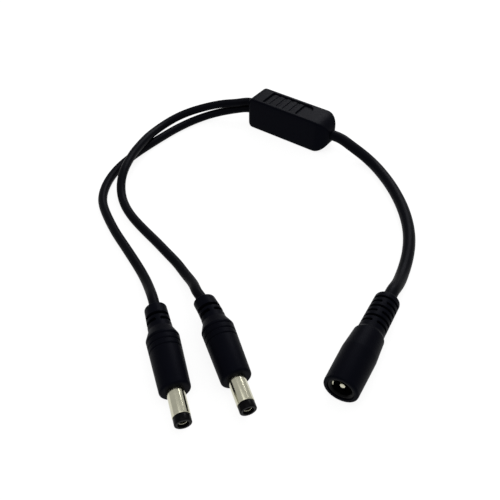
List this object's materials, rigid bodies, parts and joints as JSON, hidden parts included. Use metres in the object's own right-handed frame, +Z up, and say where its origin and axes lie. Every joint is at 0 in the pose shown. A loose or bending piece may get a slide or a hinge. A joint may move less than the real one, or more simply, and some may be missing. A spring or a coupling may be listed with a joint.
{
  "type": "power splitter cable",
  "caption": "Power splitter cable: a round female socket feeds, through a moulded splitter block, branch cords that end in round male plugs.",
  "frame": {"origin": "centre of the splitter block's underside, on the surface that everything lies on", "axes": "+Z up; +X along the splitter block towards the trunk cord; +Y across the block"},
  "size_m": [0.1448, 0.1542, 0.0149],
  "materials": {
    "moulding_pvc": "satin moulded PVC, near black with a bluish cast",
    "cord_pvc": "satin extruded PVC, near black",
    "nickel": "bright nickel plating, slightly warm",
    "tip_plastic": "glossy black moulded plastic",
    "splice_brass": "plain drawn brass",
    "core_red": "red core insulation",
    "core_black": "black core insulation"
  },
  "bodies": {
    "root": {"splitter_block": "moulding_pvc", "plug_a_moulding": "moulding_pvc", "plug_b_moulding": "moulding_pvc", "socket_moulding": "moulding_pvc", "trunk_cord": "cord_pvc", "branch_cord_a": "cord_pvc", "branch_cord_b": "cord_pvc", "plug_a_sleeve": "nickel", "plug_b_sleeve": "nickel", "plug_a_centre_contact": "nickel", "plug_b_centre_contact": "nickel", "socket_centre_pin": "nickel", "socket_leaf_contact": "nickel", "plug_a_insulator": "tip_plastic", "plug_b_insulator": "tip_plastic", "socket_insert": "tip_plastic", "splice_positive": "splice_brass", "splice_negative": "splice_brass", "trunk_core_positive": "core_red", "branch_a_core_positive": "core_red", "branch_b_core_positive": "core_red", "plug_a_core_positive": "core_red", "plug_b_core_positive": "core_red", "socket_core_positive": "core_red", "trunk_core_negative": "core_black", "branch_a_core_negative": "core_black", "branch_b_core_negative": "core_black", "plug_a_core_negative": "core_black", "plug_b_core_negative": "core_black", "socket_core_negative": "core_black"}
  },
  "joints": []
}
